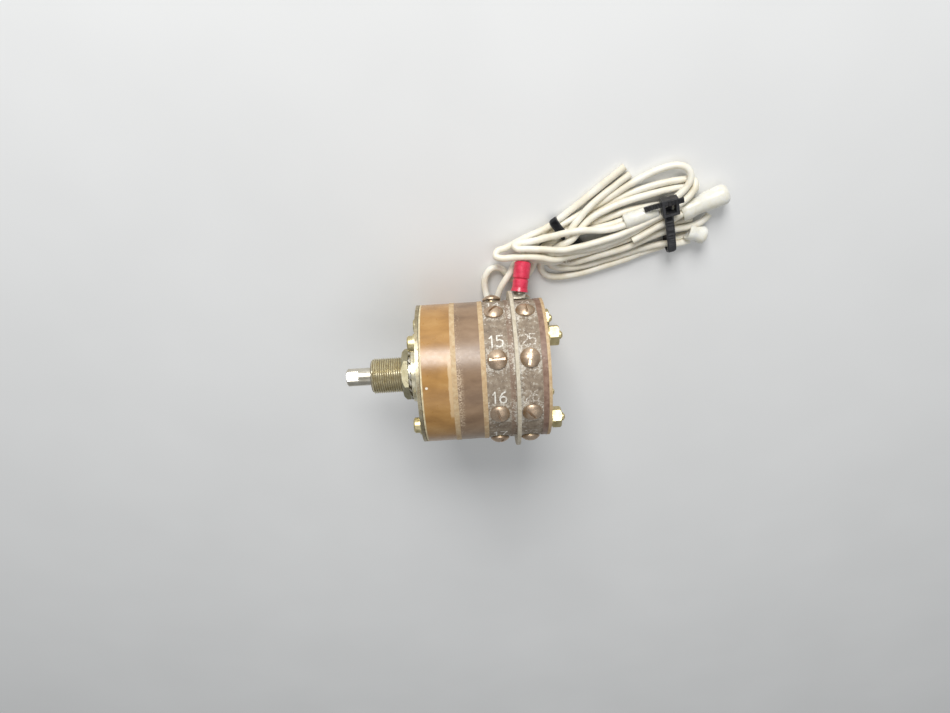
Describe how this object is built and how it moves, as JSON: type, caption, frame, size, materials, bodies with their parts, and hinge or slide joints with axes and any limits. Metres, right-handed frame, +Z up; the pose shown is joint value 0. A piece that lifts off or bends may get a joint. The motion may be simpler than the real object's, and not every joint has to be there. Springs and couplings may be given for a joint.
{
  "type": "wirewound rheostat",
  "caption": "Round panel-mount wirewound rheostat with two decks of screw terminals, a threaded bushing and a tied hank of leads.",
  "frame": {"origin": "on the shaft axis, in the plane of the mounting seat that lies against the panel", "axes": "+X along the shaft towards its tip, +Z up with the part lying on its side, -Y towards the tied leads"},
  "size_m": [0.1373, 0.0916, 0.0554],
  "materials": {
    "bright_steel": "satin",
    "nickelled_brass": "worn satin",
    "plated_steel": "dull, stained",
    "phosphor_bronze": "satin",
    "brass": "satin",
    "screw_brass": "tarnished",
    "bolt_brass": "dull",
    "tinned_copper": "dull",
    "carbon": "matt",
    "black_gasket": "matt",
    "ceramic": "matt",
    "resistance_wire": "satin",
    "amber_moulding": "glossy",
    "mauve_moulding": "satin",
    "deck_moulding": "dusty",
    "brown_laminate": "matt",
    "tan_laminate": "satin",
    "cream_laminate": "matt",
    "red_sleeve": "glossy",
    "lead_insulation": "satin",
    "white_nylon": "satin",
    "black_nylon": "satin"
  },
  "bodies": {
    "body": {"mounting_bushing": "nickelled_brass", "panel_nut": "nickelled_brass", "lock_washer": "bright_steel", "front_plate": "plated_steel", "plate_gasket": "black_gasket", "backing_plate": "cream_laminate", "element_housing": "amber_moulding", "element_core": "ceramic", "element_winding": "resistance_wire", "end_clips": "brass", "link_rods": "brass", "element_base": "tan_laminate", "thrust_washer": "bright_steel", "stop_housing": "mauve_moulding", "stop_pin": "bright_steel", "insulating_plate": "tan_laminate", "deck_1": "deck_moulding", "deck_1_contacts": "brass", "barrier": "tan_laminate", "deck_2": "deck_moulding", "deck_2_contacts": "brass", "terminal_screws": "screw_brass", "rear_plate": "tan_laminate", "rear_bush": "brass", "tie_bolts": "bolt_brass", "tie_bolt_washers": "bolt_brass", "tie_bolt_nuts": "bolt_brass", "bare_ends": "tinned_copper", "ring_lug": "tinned_copper", "lug_sleeve": "red_sleeve", "lead_a": "lead_insulation", "lead_b": "lead_insulation", "lead_c": "lead_insulation", "hank": "lead_insulation", "lower_loop": "lead_insulation", "upper_loop": "lead_insulation", "lead_tails": "lead_insulation", "cable_ties": "black_nylon", "large_cap": "white_nylon", "small_cap": "white_nylon"},
    "rotor": {"shaft": "bright_steel", "spindle": "brown_laminate", "common_tube": "brass", "wiper_arm": "phosphor_bronze", "wiper_brush": "carbon", "stop_arm": "brown_laminate", "deck_blades": "phosphor_bronze", "spring_washer": "bright_steel"}
  },
  "joints": [
    {"name": "shaft_turn", "type": "hinge", "parent": "body", "child": "rotor", "pos_m": [0, 0, 0], "axis": [1, 0, 0], "range_deg": [-135, 180]}
  ]
}
